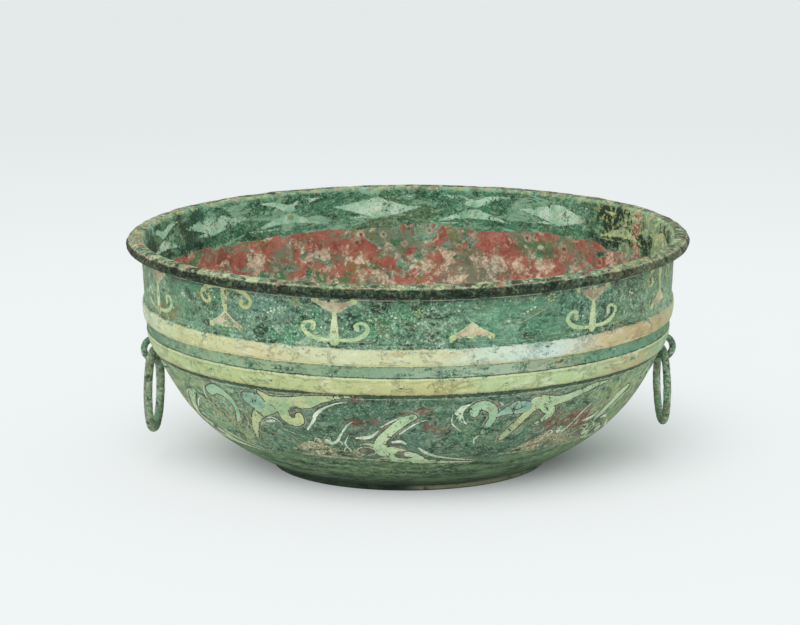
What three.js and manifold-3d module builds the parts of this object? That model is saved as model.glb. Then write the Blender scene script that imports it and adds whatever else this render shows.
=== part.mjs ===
// Bronze basin with two free ring handles, each hung in a staple loop.
// Millimetres, +Z up. The origin is the centre of the foot's underside, and the handles are at -X and +X.
import * as THREE from 'three';
import { mergeVertices } from 'three/addons/utils/BufferGeometryUtils.js';
import Module from 'manifold-3d';

const wasm = await Module();
wasm.setup();

// Basin
const rimRadius = 200;
const basinHeight = 165;
const wallThickness = 3;
const wallLean = 1.9;
const lipHeight = 9;
const lipOverhang = 10.5;
const lipCrestInset = 8.5;
const lipFlare = 2.2;
const lipEase = 0.5;
const lipRunOut = 2;

// Lip section from the underside out to the rim and up, as shares of the overhang and of the drop
const lipSection = [
  [0.45, 1],
  [0.9, 0.83],
  [1, 0.5],
  [0.84, 0.2],
  [0.58, 0.03],
];
const lipFlareDepth = 0.12;

// Raised band below the upper wall, made of three strips
const bandDrop = 44.5;
const bandProud = 1.4;
const upperStripHeight = 12.1;
const middleStripHeight = 8.9;
const lowerStripHeight = 12.6;
const stripRecess = 0.7;
const bandTaper = 6.1;
const stripEdge = 0.6;

// Rounded bowl below the band
const bowlTopLean = 24;
const bowlTopPull = 50;
const bowlFootRise = 27;
const bowlFootPull = 46;

// Low foot ring
const footRadius = 98;
const footHeight = 4;
const footWidth = 8;
const footRecess = 2.6;
const footLedge = 2;
const footEdge = 0.5;
const floorThickness = 3;
const floorShoulder = 0.75;

// Staple loops, whose legs pass through the wall and are hammered over inside
const loopWire = 5;
const loopLegSpacing = 16;
const loopDrop = 6.4;
const loopReach = 13.3;
const rivetHeadDiameter = 9;
const rivetHeadThickness = 2.2;
const rivetStub = 1.2;
const rivetLean = 38;

// Ring handles, hand made and not quite alike
const leftRingDiameter = 62.5;
const leftRingWire = 6.6;
const leftRingYaw = 5.7;
const rightRingDiameter = 58;
const rightRingWire = 5.8;
const rightRingYaw = 4.7;

// Fits
const legClearance = 0.35;
const headClearance = 0.35;
const ringWallClearance = 0.8;
const ringLoopClearance = 1.1;
const holeReach = 6;

// Facets
const basinSegments = 72;
const bowlSteps = 9;
const bandSteps = 3;
const wireSides = 10;
const ringSegments = 32;
const loopSteps = 20;
const holeSides = 16;

const degree = Math.PI / 180;
const bandHeight = upperStripHeight + middleStripHeight + lowerStripHeight;
const bandTop = basinHeight - bandDrop;
const bandBottom = bandTop - bandHeight;
const neckRadius = rimRadius - lipOverhang;
const wallFootRadius = neckRadius - wallLean;
const bandTopRadius = wallFootRadius + bandProud;
const bowlTopRadius = wallFootRadius - bandTaper;
const loopHeight = bandBottom - loopDrop;

// Outer radius of the smooth wall behind the band's three strips
function bandRadius(height) {
  const drop = (bandTop - height) / bandHeight;
  return wallFootRadius - bandTaper * drop * drop;
}

const bowlCurve = new THREE.CubicBezierCurve(
  new THREE.Vector2(bowlTopRadius, bandBottom),
  new THREE.Vector2(
    bowlTopRadius - bowlTopPull * Math.sin(bowlTopLean * degree),
    bandBottom - bowlTopPull * Math.cos(bowlTopLean * degree)
  ),
  new THREE.Vector2(
    footRadius + footLedge + bowlFootPull * Math.cos(bowlFootRise * degree),
    footHeight + bowlFootPull * Math.sin(bowlFootRise * degree)
  ),
  new THREE.Vector2(footRadius + footLedge, footHeight)
);

// Points of the bowl from the band down to the foot, moved inwards along the curve's normal
function bowlPoints(inset) {
  const points = [];
  for (let step = 0; step <= bowlSteps; step += 1) {
    const point = bowlCurve.getPoint(step / bowlSteps);
    const tangent = bowlCurve.getTangent(step / bowlSteps);
    points.push(new THREE.Vector2(point.x + tangent.y * inset, point.y - tangent.x * inset));
  }
  return points;
}

// Rolled lip, from the neck over the crest to the inner wall
function lipPoints(innerRadius) {
  const top = basinHeight;
  const rolled = lipSection.map(
    ([out, down]) => new THREE.Vector2(neckRadius + out * lipOverhang, top - down * lipHeight)
  );
  return [
    new THREE.Vector2(neckRadius, top - lipHeight - lipRunOut / 2),
    ...rolled,
    new THREE.Vector2(rimRadius - lipCrestInset, top),
    new THREE.Vector2(innerRadius + lipFlare, top - lipFlareDepth * lipHeight),
    new THREE.Vector2(innerRadius + lipEase, top - lipHeight / 2),
    new THREE.Vector2(innerRadius, top - lipHeight - lipRunOut),
  ];
}

// The band's three strips, from the bottom of the lowest to the top of the upper
function bandPoints() {
  const lowerTop = bandBottom + lowerStripHeight;
  const middleTop = lowerTop + middleStripHeight;
  const proud = (height) => bandRadius(height) + bandProud;
  const recessed = (height) => bandRadius(height) + bandProud - stripRecess;
  return [
    new THREE.Vector2(proud(bandBottom + stripEdge), bandBottom + stripEdge),
    new THREE.Vector2(proud(bandBottom + lowerStripHeight / 2), bandBottom + lowerStripHeight / 2),
    new THREE.Vector2(proud(lowerTop), lowerTop),
    new THREE.Vector2(recessed(lowerTop + stripEdge), lowerTop + stripEdge),
    new THREE.Vector2(recessed(middleTop - stripEdge), middleTop - stripEdge),
    new THREE.Vector2(proud(middleTop), middleTop),
    new THREE.Vector2(bandTopRadius, bandTop - stripEdge),
    new THREE.Vector2(wallFootRadius, bandTop),
  ];
}

// Turned profile of the whole basin, from the middle of the underside round to the middle of the floor
function basinProfile() {
  const inner = bowlPoints(wallThickness);
  const innerFoot = inner[inner.length - 1];
  const floorTop = footRecess + floorThickness;
  return [
    new THREE.Vector2(0, footRecess),
    new THREE.Vector2(footRadius - footWidth, footRecess),
    new THREE.Vector2(footRadius - footWidth, 0),
    new THREE.Vector2(footRadius - footEdge, 0),
    new THREE.Vector2(footRadius, footEdge),
    new THREE.Vector2(footRadius, footHeight - footEdge),
    ...bowlPoints(0).reverse(),
    ...bandPoints(),
    ...lipPoints(neckRadius - wallThickness),
    new THREE.Vector2(wallFootRadius - wallThickness, bandTop),
    new THREE.Vector2(bandRadius(bandTop - bandHeight / 2) - wallThickness, bandTop - bandHeight / 2),
    ...inner,
    new THREE.Vector2(innerFoot.x * floorShoulder, (innerFoot.y + floorTop) / 2),
    new THREE.Vector2(0, floorTop),
  ];
}

// Wall near the loops with clearance on both faces, which trims the rivet heads
function clearanceProfile() {
  const outside = bowlPoints(-headClearance).reverse();
  const inside = bowlPoints(wallThickness + headClearance);
  const bandHeights = [];
  for (let step = 1; step <= bandSteps; step += 1) {
    bandHeights.push(bandBottom + (step / bandSteps) * bandHeight);
  }
  const beyond = (height) => new THREE.Vector2(bandRadius(height) + bandProud + headClearance, height);
  const within = (height) => new THREE.Vector2(bandRadius(height) - wallThickness - headClearance, height);
  return [
    ...outside,
    ...bandHeights.map(beyond),
    ...bandHeights.slice().reverse().map(within),
    ...inside,
    outside[0].clone(),
  ];
}

function turned(profile) {
  return new THREE.LatheGeometry(profile, basinSegments).rotateX(Math.PI / 2);
}

// Closed triangle mesh as a solid
function toSolid(geometry) {
  const bare = geometry.index ? geometry.toNonIndexed() : geometry.clone();
  bare.deleteAttribute('normal');
  bare.deleteAttribute('uv');
  const merged = mergeVertices(bare, 1e-4);
  const corners = merged.index.array;
  const kept = [];
  for (let i = 0; i < corners.length; i += 3) {
    const [a, b, c] = [corners[i], corners[i + 1], corners[i + 2]];
    if (a !== b && b !== c && c !== a) {
      kept.push(a, b, c);
    }
  }
  const mesh = new wasm.Mesh({
    numProp: 3,
    vertProperties: new Float32Array(merged.attributes.position.array),
    triVerts: new Uint32Array(kept),
  });
  return new wasm.Manifold(mesh);
}

function toGeometry(solid) {
  const mesh = solid.getMesh();
  const geometry = new THREE.BufferGeometry();
  geometry.setAttribute('position', new THREE.BufferAttribute(mesh.vertProperties, 3));
  geometry.setIndex(new THREE.BufferAttribute(mesh.triVerts, 1));
  geometry.computeVertexNormals();
  return geometry;
}

// Round bar along X, from one radius to another, at the height of a leg
function radialBar(diameter, from, to, height, sides) {
  const bar = new THREE.CylinderGeometry(diameter / 2, diameter / 2, to - from, sides);
  return toSolid(bar.rotateZ(Math.PI / 2).translate((from + to) / 2, 0, height));
}

// Inner and outer radius of the bowl wall at a height
function wallRadiusAt(height, inset) {
  const points = bowlPoints(inset);
  for (let i = 1; i < points.length; i += 1) {
    if (points[i].y <= height && points[i - 1].y >= height) {
      const share = (height - points[i].y) / (points[i - 1].y - points[i].y);
      return points[i].x + share * (points[i - 1].x - points[i].x);
    }
  }
  return bandRadius(height) - inset;
}

const legHeights = [loopHeight - loopLegSpacing / 2, loopHeight + loopLegSpacing / 2];
const loopBendRadius = loopLegSpacing / 2;
const loopOuterRadius = wallRadiusAt(loopHeight, 0) + loopReach;
const loopBendCentre = loopOuterRadius - loopWire / 2 - loopBendRadius;

function legEnd(height) {
  return wallRadiusAt(height, wallThickness) - rivetStub;
}

// Centre line of the staple: a leg, the round bend outside the wall, and the other leg
class StaplePath extends THREE.Curve {
  getPoint(t) {
    const [lower, upper] = legHeights;
    const lowerLeg = loopBendCentre - legEnd(lower);
    const upperLeg = loopBendCentre - legEnd(upper);
    const bend = Math.PI * loopBendRadius;
    const along = t * (lowerLeg + bend + upperLeg);
    if (along < lowerLeg) {
      return new THREE.Vector3(legEnd(lower) + along, 0, lower);
    }
    if (along > lowerLeg + bend) {
      return new THREE.Vector3(loopBendCentre - (along - lowerLeg - bend), 0, upper);
    }
    const angle = (along - lowerLeg) / loopBendRadius - Math.PI / 2;
    return new THREE.Vector3(
      loopBendCentre + loopBendRadius * Math.cos(angle),
      0,
      loopHeight + loopBendRadius * Math.sin(angle)
    );
  }
}

function roundSection(diameter, sides) {
  const points = [];
  for (let side = 0; side < sides; side += 1) {
    const angle = (side / sides) * 2 * Math.PI;
    points.push(new THREE.Vector2((diameter / 2) * Math.cos(angle), (diameter / 2) * Math.sin(angle)));
  }
  return new THREE.Shape(points);
}

function rivetHead(height) {
  const innerFace = wallRadiusAt(height, wallThickness);
  const slope = (rivetHeadDiameter / 2) * Math.tan(rivetLean * degree);
  const deep = radialBar(
    rivetHeadDiameter,
    innerFace - slope / 2 - rivetHeadThickness,
    innerFace + slope + headClearance,
    height,
    holeSides
  );
  return deep.subtract(toSolid(turned(clearanceProfile())));
}

function buildBody() {
  let body = toSolid(turned(basinProfile()));
  for (const height of legHeights) {
    const from = wallRadiusAt(height, wallThickness) - holeReach;
    const to = wallRadiusAt(height, 0) + holeReach;
    const hole = radialBar(loopWire + 2 * legClearance, from, to, height, holeSides);
    body = body.subtract(hole).subtract(hole.rotate([0, 0, 180]));
  }
  return toGeometry(body);
}

function buildLoop() {
  const sweep = new THREE.ExtrudeGeometry(roundSection(loopWire, wireSides), {
    extrudePath: new StaplePath(),
    steps: loopSteps,
    bevelEnabled: false,
  });
  let loop = toSolid(sweep);
  for (const height of legHeights) {
    loop = loop.add(insideOnly(rivetHead(height), height));
  }
  return toGeometry(loop);
}

// Keeps the part of a head that lies inside the bowl
function insideOnly(head, height) {
  const innerFace = wallRadiusAt(height, wallThickness + headClearance);
  return head.decompose().reduce((best, part) => {
    const middle = (solid) => (solid.boundingBox().min[0] + solid.boundingBox().max[0]) / 2;
    return Math.abs(middle(part) - innerFace) < Math.abs(middle(best) - innerFace) ? part : best;
  });
}

function bronze(color, roughness) {
  return new THREE.MeshStandardMaterial({ color, roughness, metalness: 0.35 });
}

function named(name, geometry, material) {
  const mesh = new THREE.Mesh(geometry, material);
  mesh.name = name;
  return mesh;
}

const basin = new THREE.Group();
basin.add(named('basin_body', buildBody(), bronze(0x5b8a70, 0.6)));

const wallSlope = Math.cos(bowlTopLean * degree);

// One ring hung just clear of the loop's lower leg and of the wall
function buildRing(name, diameter, wire, yaw) {
  const pivotHeight = loopHeight - loopBendRadius + (loopWire + wire) / 2 + ringLoopClearance;
  const pivotRadius = wallRadiusAt(pivotHeight, 0) + (wire / 2 + ringWallClearance) / wallSlope;
  const ringRadius = (diameter - wire) / 2;
  const torus = new THREE.TorusGeometry(ringRadius, wire / 2, wireSides, ringSegments);
  const ring = named(name, torus.rotateY(Math.PI / 2), bronze(0x6b7260, 0.6));
  ring.position.z = -ringRadius;
  const hung = new THREE.Group();
  hung.position.set(pivotRadius, 0, pivotHeight);
  hung.rotation.z = yaw * degree;
  hung.add(ring);
  return hung;
}

const right = new THREE.Group();
right.add(named('right_staple_loop', buildLoop(), bronze(0x55705f, 0.65)));
right.add(buildRing('right_ring_handle', rightRingDiameter, rightRingWire, rightRingYaw));
basin.add(right);

const left = new THREE.Group();
left.rotation.z = Math.PI;
left.add(named('left_staple_loop', buildLoop(), bronze(0x55705f, 0.65)));
left.add(buildRing('left_ring_handle', leftRingDiameter, leftRingWire, -leftRingYaw));
basin.add(left);

export default basin;
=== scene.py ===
import math

import bmesh
import bpy
import numpy as np
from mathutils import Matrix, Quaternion, Vector


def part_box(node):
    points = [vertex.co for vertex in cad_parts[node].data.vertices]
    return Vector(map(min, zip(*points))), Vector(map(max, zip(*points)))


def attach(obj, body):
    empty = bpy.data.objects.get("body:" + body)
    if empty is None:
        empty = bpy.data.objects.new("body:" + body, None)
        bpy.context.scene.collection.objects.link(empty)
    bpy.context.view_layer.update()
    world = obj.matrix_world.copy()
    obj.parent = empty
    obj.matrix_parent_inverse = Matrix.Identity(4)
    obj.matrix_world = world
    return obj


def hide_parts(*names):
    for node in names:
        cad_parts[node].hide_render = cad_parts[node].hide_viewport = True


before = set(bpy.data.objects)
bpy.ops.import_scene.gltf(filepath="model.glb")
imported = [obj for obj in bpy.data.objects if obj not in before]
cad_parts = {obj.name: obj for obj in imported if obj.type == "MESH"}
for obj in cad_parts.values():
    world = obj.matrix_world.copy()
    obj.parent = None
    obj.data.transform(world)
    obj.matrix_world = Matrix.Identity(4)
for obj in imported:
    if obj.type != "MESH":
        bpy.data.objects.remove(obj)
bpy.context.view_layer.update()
degree = math.pi / 180


# colours are written as hex and turned to linear once
def hexColour(text):
    parts = [int(text[i:i + 2], 16) / 255 for i in (0, 2, 4)]
    return tuple(c / 12.92 if c <= 0.04045 else ((c + 0.055) / 1.055) ** 2.4 for c in parts) + (1.0,)


# a socket that takes + - * / and knows its tree
class Value:
    def __init__(self, graph, socket):
        self.graph = graph
        self.socket = socket

    def math(self, operation, *others):
        return self.graph.add("ShaderNodeMath", {"operation": operation}, dict(enumerate((self, *others))))

    def __add__(self, other):
        return self.math("ADD", other)

    def __sub__(self, other):
        return self.math("SUBTRACT", other)

    def __mul__(self, other):
        return self.math("MULTIPLY", other)

    def __truediv__(self, other):
        return self.math("DIVIDE", other)

    def __rsub__(self, other):
        return self.graph.add("ShaderNodeMath", {"operation": "SUBTRACT"}, {0: other, 1: self})

    __radd__ = __add__
    __rmul__ = __mul__


# one node tree, for a shader or for geometry
class Graph:
    def __init__(self, tree):
        self.tree = tree
        self.place = None
        self.colour = None

    def add(self, kind, settings=None, inputs=None, output=0):
        node = self.tree.nodes.new(kind)
        for key, value in (settings or {}).items():
            if key == "stops":
                self.setStops(node.color_ramp, value)
            else:
                setattr(node, key, value)
        for key, value in (inputs or {}).items():
            self.feed(node.inputs[key], value)
        return Value(self, node.outputs[output])

    def setStops(self, ramp, stops):
        while len(ramp.elements) < len(stops):
            ramp.elements.new(0.5)
        for element, (place, colour) in zip(ramp.elements, stops):
            element.position = place
            element.color = hexColour(colour)

    def feed(self, socket, value):
        if isinstance(value, Value):
            self.tree.links.new(value.socket, socket)
        else:
            socket.default_value = value

    def split(self, vector):
        node = self.tree.nodes.new("ShaderNodeSeparateXYZ")
        self.feed(node.inputs[0], vector)
        return [Value(self, output) for output in node.outputs]

    def step(self, value, low, high):
        return self.add("ShaderNodeMapRange", {"interpolation_type": "SMOOTHSTEP"},
                        {"Value": value, "From Min": low, "From Max": high})

    def mix(self, first, second, share):
        first = hexColour(first) if isinstance(first, str) else first
        second = hexColour(second) if isinstance(second, str) else second
        return self.add("ShaderNodeMix", {"data_type": "RGBA"}, {0: share, 6: first, 7: second}, 2)

    def moved(self, stretch, shift):
        return self.add("ShaderNodeMapping", {}, {"Vector": self.place, "Scale": (1, 1, stretch),
                                                  "Location": (shift, shift * 0.7, shift * 1.3)})

    def noise(self, scale, detail, rough, bend=0.0, stretch=1.0, shift=0.0):
        return self.add("ShaderNodeTexNoise", {}, {"Vector": self.moved(stretch, shift), "Scale": scale,
                                                   "Detail": detail, "Roughness": rough, "Distortion": bend})

    def cells(self, scale, shift):
        return self.add("ShaderNodeTexVoronoi", {}, {"Vector": self.moved(1.0, shift), "Scale": scale})

    def ramp(self, value, stops):
        return self.add("ShaderNodeValToRGB", {"stops": stops}, {0: value})

    # one more coat over the colour so far
    def coat(self, tint, share):
        self.colour = self.mix(self.colour, tint, share)

    # patches with soft edges
    def blotch(self, scale, low, high, shift, rough=0.72, bend=0.4, stretch=1.0):
        return self.step(self.noise(scale, 9, rough, bend, stretch, shift), low, high)

    # how far a place is from one turn, either way
    def away(self, turn):
        return (self.turn - turn).math("ABSOLUTE")

    # grows from nothing at one turn to full at another, and fades out again towards the back
    def sideways(self, none, full):
        back = self.step(self.away(0.5), 0.49, 0.4)
        return self.step(self.turn, none, full) * back

    # a soft spot round one turn and one height
    def near(self, turn, reach, height, tall):
        across = ((self.turn - turn) / reach).math("ABSOLUTE")
        up = ((self.z - height) / tall).math("ABSOLUTE")
        return self.step(across.math("MAXIMUM", up), 1.0, 0.35)


# a material whose graph knows height, angle and place; turn is 0.5 at the front and 0 or 1 at the back
def newMaterial(name):
    material = bpy.data.materials.new(name)
    material.use_nodes = True
    g = Graph(material.node_tree)
    g.shader = material.node_tree.nodes["Principled BSDF"]
    g.place = g.add("ShaderNodeTexCoord", {}, {}, "Object")
    x, y, g.z = g.split(g.place)
    g.turn = x.math("ARCTAN2", 0 - y) / (2 * math.pi) + 0.5
    g.reach = (x * x + y * y).math("SQRT")
    return material, g


# how deep the relief of each finish goes, in metres
reliefDepths = {"wall": 0.0014, "lip": 0.0022, "wire": 0.0012, "paint": 0.0004}


def finishMaterial(g, rough, height=None, depth=0.0, specular=0.18, alpha=None):
    g.feed(g.shader.inputs["Base Color"], g.colour)
    g.feed(g.shader.inputs["Roughness"], rough)
    g.shader.inputs["Specular IOR Level"].default_value = specular
    if height is not None:
        relief = g.add("ShaderNodeBump", {}, {"Distance": depth, "Height": height})
        g.feed(g.shader.inputs["Normal"], relief)
    if alpha is not None:
        g.feed(g.shader.inputs["Alpha"], alpha)


# bronze patina: clouds, smears round the wall, a granular crust, pits, rust and pale grains
patinaTints = {"deep": "34503d", "base": "5e8166", "pale": "92b394", "blue": "7a9d8e", "olive": "737a56",
               "vivid": "4f8e66", "bloom": "aac8a6", "pit": "213628", "russet": "7b5441", "grain": "c2d8bc"}

patinaScales = {"clouds": 15, "smears": 38, "mottle": 120, "coarse": 290, "grain": 680, "specks": 330, "flecks": 140,
                "warts": 70}


def patina(g, crust, rust, grime, **tints):
    t, s = {**patinaTints, **tints}, patinaScales
    clouds = g.noise(s["clouds"], 9, 0.66, 0.5, 1.3, 3.1)
    smears = g.noise(s["smears"], 9, 0.7, 0.2, 4.5, 1.7)
    mottle = g.noise(s["mottle"], 7, 0.72, 0.3, 1.5, 6.3)
    coarse = g.noise(s["coarse"], 5, 0.7, 0.2, 1.2, 8.4)
    grain = g.noise(s["grain"], 4, 0.7, shift=0.9)
    tone = clouds * 0.28 + smears * 0.22 + mottle * 0.26 + coarse * 0.24
    g.colour = g.ramp(tone, [(0.44, t["deep"]), (0.48, t["base"]), (0.52, t["base"]), (0.565, t["pale"])])
    g.coat(t["blue"], g.blotch(19, 0.51, 0.6, 9.2, stretch=1.5) * 0.4)
    g.coat(t["vivid"], g.blotch(22, 0.53, 0.6, 15.3) * 0.6)
    g.coat(t["olive"], g.blotch(24, 0.53, 0.62, 12.6) * 0.5)
    crusty = g.blotch(55, 0.545, 0.62, 5.4, 0.76, 0.5, 1.6) * crust
    g.coat(t["bloom"], crusty)
    pits = g.blotch(75, 0.45, 0.38, 7.7, stretch=1.4) * grime
    g.coat(t["pit"], pits)
    rusty = g.blotch(26, 0.6, 0.66, 2.3, 0.78, 0.6) * rust
    g.coat(t["russet"], rusty)
    g.coat(t["pit"], g.step(grain, 0.47, 0.38) * g.step(coarse, 0.58, 0.46) * 0.8)
    pale = g.step(grain, 0.52, 0.61) * g.step(coarse, 0.41, 0.53) * g.step(mottle, 0.38, 0.52)
    g.coat(t["grain"], pale * 0.85)
    specks = g.step(g.cells(s["specks"], 4.0), 0.2, 0.1) * g.step(clouds, 0.5, 0.56)
    g.coat(t["grain"], specks * 0.7)
    flecks = g.step(g.cells(s["flecks"], 9.0), 0.12, 0.07) * g.step(smears, 0.5, 0.54)
    g.coat("e0ebdc", flecks * crust)
    warts = g.step(g.cells(s["warts"], 14.0) + (grain - 0.5) * 0.3, 0.13, 0.06) * g.step(smears, 0.5, 0.44)
    g.coat(t["russet"], warts * rust)
    height = clouds * 0.2 + mottle * 0.35 + coarse * 0.25 + grain * 0.2 + crusty * 0.3 - pits * 0.4 + rusty * 0.25
    return height, 0.56 + mottle * 0.32


# basin: the same turned profile as the casting, in metres
basinSizes = {
    "rim": 0.2, "height": 0.165, "wall": 0.003, "lean": 0.0019,
    "lipHeight": 0.009, "lipOverhang": 0.0105, "lipInset": 0.0085, "lipLump": 0.0026, "lumpScale": 62.0,
    "bandDrop": 0.0445, "proud": 0.0014, "upper": 0.0121, "middle": 0.0089, "lower": 0.0126,
    "recess": 0.0007, "taper": 0.0061, "edge": 0.0006, "crown": 0.0005,
    "topLean": 24, "topPull": 0.05, "footRise": 27, "footPull": 0.046,
    "foot": 0.098, "footHeight": 0.004, "footWidth": 0.008, "footRecess": 0.0026, "footLedge": 0.002,
    "floor": 0.003, "around": 360,
}
rowCounts = {"under": 8, "bowl": 56, "strip": 9, "middle": 6, "wall": 15, "lip": 5, "inner": 11, "innerBowl": 40,
             "floor": 12}
b = basinSizes
bandTop = b["height"] - b["bandDrop"]
bandBottom = bandTop - b["upper"] - b["middle"] - b["lower"]
middleTop = bandTop - b["upper"]
lowerTop = middleTop - b["middle"]
neck = b["rim"] - b["lipOverhang"]
neckHeight = b["height"] - b["lipHeight"]
wallFoot = neck - b["lean"]
bowlTop = wallFoot - b["taper"]


def wallRadius(height):
    return wallFoot + b["lean"] * (height - bandTop) / (neckHeight - bandTop)


def bandRadius(height):
    drop = (bandTop - height) / (bandTop - bandBottom)
    return wallFoot - b["taper"] * drop * drop


# point of the bowl below the band, moved inwards by inset; share runs from the band to the foot
def bowlPoint(share, inset=0.0):
    lean, rise = b["topLean"] * degree, b["footRise"] * degree
    start = np.array([bowlTop, bandBottom])
    end = np.array([b["foot"] + b["footLedge"], b["footHeight"]])
    first = start - b["topPull"] * np.array([math.sin(lean), math.cos(lean)])
    second = end + b["footPull"] * np.array([math.cos(rise), math.sin(rise)])
    rest = 1 - share
    point = rest ** 3 * start + 3 * rest ** 2 * share * first + 3 * rest * share ** 2 * second + share ** 3 * end
    slope = rest ** 2 * (first - start) + 2 * rest * share * (second - first) + share ** 2 * (end - second)
    slope = slope / np.linalg.norm(slope)
    return point + inset * np.array([slope[1], -slope[0]])


bowlShares = np.linspace(0, 1, 201)
bowlLine = np.array([bowlPoint(share) for share in bowlShares])
bowlLength = np.concatenate([[0.0], np.cumsum(np.linalg.norm(np.diff(bowlLine, axis=0), axis=1))])
innerLine = np.array([bowlPoint(share, b["wall"]) for share in bowlShares])


# height of a place on the bowl, from its way down along the surface
def bowlHeight(down):
    return float(np.interp(down, bowlLength, bowlLine[:, 1]))


def outerRadius(height):
    if height > bandTop:
        return wallRadius(height)
    if height > bandBottom:
        return bandRadius(height) + b["proud"]
    return float(np.interp(height, bowlLine[::-1, 1], bowlLine[::-1, 0]))


# a smooth Catmull-Rom line through chosen points
def smoothLine(corners, steps):
    points = np.array(corners, float)
    padded = np.vstack([2 * points[0] - points[1], points, 2 * points[-1] - points[-2]])
    line = []
    for i in range(1, len(points)):
        before, here, after, beyond = padded[i - 1:i + 3]
        for t in np.arange(steps) / steps:
            line.append(here + 0.5 * t * (after - before + t * (2 * before - 5 * here + 4 * after - beyond
                                                                + t * (3 * here - before - 3 * after + beyond))))
    return np.array(line + [points[-1]])


# a strip's face between two heights, softly crowned
def stripRows(low, high, proud, crown, count):
    shares = [i / count for i in range(count + 1)]
    return [(bandRadius(low + (high - low) * s) + proud + crown * math.sin(math.pi * s), 0.1, low + (high - low) * s)
            for s in shares]


def lipRows(inner):
    top, tall, over, rim = b["height"], b["lipHeight"], b["lipOverhang"], b["rim"]
    corners = [
        (neck, top - tall - 0.002), (neck + 0.1 * over, top - tall - 0.0004), (neck + 0.45 * over, top - tall),
        (rim - 0.1 * over, top - 0.83 * tall), (rim, top - 0.5 * tall), (rim - 0.16 * over, top - 0.2 * tall),
        (rim - 0.42 * over, top - 0.03 * tall), (rim - b["lipInset"], top), (inner + 0.0022, top - 0.12 * tall),
        (inner + 0.0005, top - 0.5 * tall), (inner, top - tall - 0.002),
    ]
    line = smoothLine(corners, rowCounts["lip"])
    count = len(line) - 1
    return [(r, min(1.0, 2.5 * min(i, count - i) / count), z) for i, (r, z) in enumerate(line)]


# rows of (radius, lumpiness, height) from the middle of the underside, out, up, over the lip and down inside
def basinRows():
    n = rowCounts
    footIn, foot, footTop = b["foot"] - b["footWidth"], b["foot"], b["footHeight"]
    rows = [(footIn * i / n["under"], 0.2, b["footRecess"]) for i in range(n["under"] + 1)]
    # the foot ring's two rounded lower edges, then its side and the corner under the bowl
    rows += [(footIn, 0.0, 0.0012), (footIn + 0.0004, 0.0, 0.0), (footIn + 0.004, 0.0, 0.0), (foot - 0.0006, 0.0, 0.0)]
    rows += [(foot - 0.0001, 0.1, 0.0005), (foot, 0.2, 0.0018), (foot, 0.2, footTop - 0.0006)]
    rows += [(foot + 0.0006, 0.2, footTop - 0.0001)]
    rows += [(r, 0.0, z) for r, z in (bowlPoint(1 - i / n["bowl"]) for i in range(n["bowl"] + 1))]
    edge, wallTop = b["edge"], neckHeight - 0.003
    rows += stripRows(bandBottom + edge, lowerTop, b["proud"], b["crown"], n["strip"])
    rows += stripRows(lowerTop + edge, middleTop - edge, b["proud"] - b["recess"], -0.0002, n["middle"])
    rows += stripRows(middleTop, bandTop - edge, b["proud"], b["crown"], n["strip"])
    rows += [(wallRadius(z), 0.0, z) for z in np.linspace(bandTop, wallTop, n["wall"])]
    rows += lipRows(neck - b["wall"])
    rows += [(wallRadius(z) - b["wall"], 0.0, z) for z in np.linspace(wallTop, bandTop, n["inner"])]
    rows += [(bandRadius(z) - b["wall"], 0.0, z) for z in np.linspace(bandTop, bandBottom, n["inner"])[1:-2]]
    shares = [i / n["innerBowl"] for i in range(1, n["innerBowl"] + 1)]
    rows += [(r, 0.2, z) for r, z in (bowlPoint(share, b["wall"]) for share in shares)]
    lastRadius, lastHeight = rows[-1][0], rows[-1][2]
    floorTop = b["footRecess"] + b["floor"]
    for i in range(1, n["floor"] + 1):
        left = 1 - i / n["floor"]
        rows.append((lastRadius * left, 0.3, floorTop + (lastHeight - floorTop) * left ** 2))
    return rows


# geometry node trees
def newTree(name, inputs):
    tree = bpy.data.node_groups.new(name, "GeometryNodeTree")
    tree.interface.new_socket("Geometry", in_out="INPUT", socket_type="NodeSocketGeometry")
    tree.interface.new_socket("Geometry", in_out="OUTPUT", socket_type="NodeSocketGeometry")
    for key, (kind, value) in inputs.items():
        tree.interface.new_socket(key, in_out="INPUT", socket_type=kind).default_value = value
    tree.interface.new_socket("Material", in_out="INPUT", socket_type="NodeSocketMaterial")
    g = Graph(tree)
    source = tree.nodes.new("NodeGroupInput")
    g.inputs = {s.name: Value(g, s) for s in source.outputs if s.name}
    return tree, g


def endTree(g, geometry):
    whole = g.add("GeometryNodeRealizeInstances", {}, {"Geometry": geometry})
    painted = g.add("GeometryNodeSetMaterial", {}, {"Geometry": whole, "Material": g.inputs["Material"]})
    sink = g.tree.nodes.new("NodeGroupOutput")
    g.feed(sink.inputs[0], painted)


# runs a tree on an object and keeps the result as a plain mesh with its faces outwards
def runTree(thing, tree, values):
    modifier = thing.modifiers.new("tree", "NODES")
    modifier.node_group = tree
    for item in tree.interface.items_tree:
        if item.item_type == "SOCKET" and item.in_out == "INPUT" and item.name in values:
            modifier[item.identifier] = values[item.name]
    bpy.context.view_layer.update()
    evaluated = thing.evaluated_get(bpy.context.evaluated_depsgraph_get())
    mesh = bpy.data.meshes.new_from_object(evaluated)
    thing.modifiers.remove(modifier)
    thing.data = mesh
    work = bmesh.new()
    work.from_mesh(mesh)
    bmesh.ops.recalc_face_normals(work, faces=work.faces)
    work.to_mesh(mesh)
    work.free()
    return thing


def addThing(name, data):
    thing = bpy.data.objects.new(name, data)
    bpy.context.collection.objects.link(thing)
    return thing


def newObject(name, vertices, edges, faces):
    mesh = bpy.data.meshes.new(name)
    mesh.from_pydata([tuple(v) for v in vertices], edges, faces)
    return addThing(name, mesh)


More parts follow.
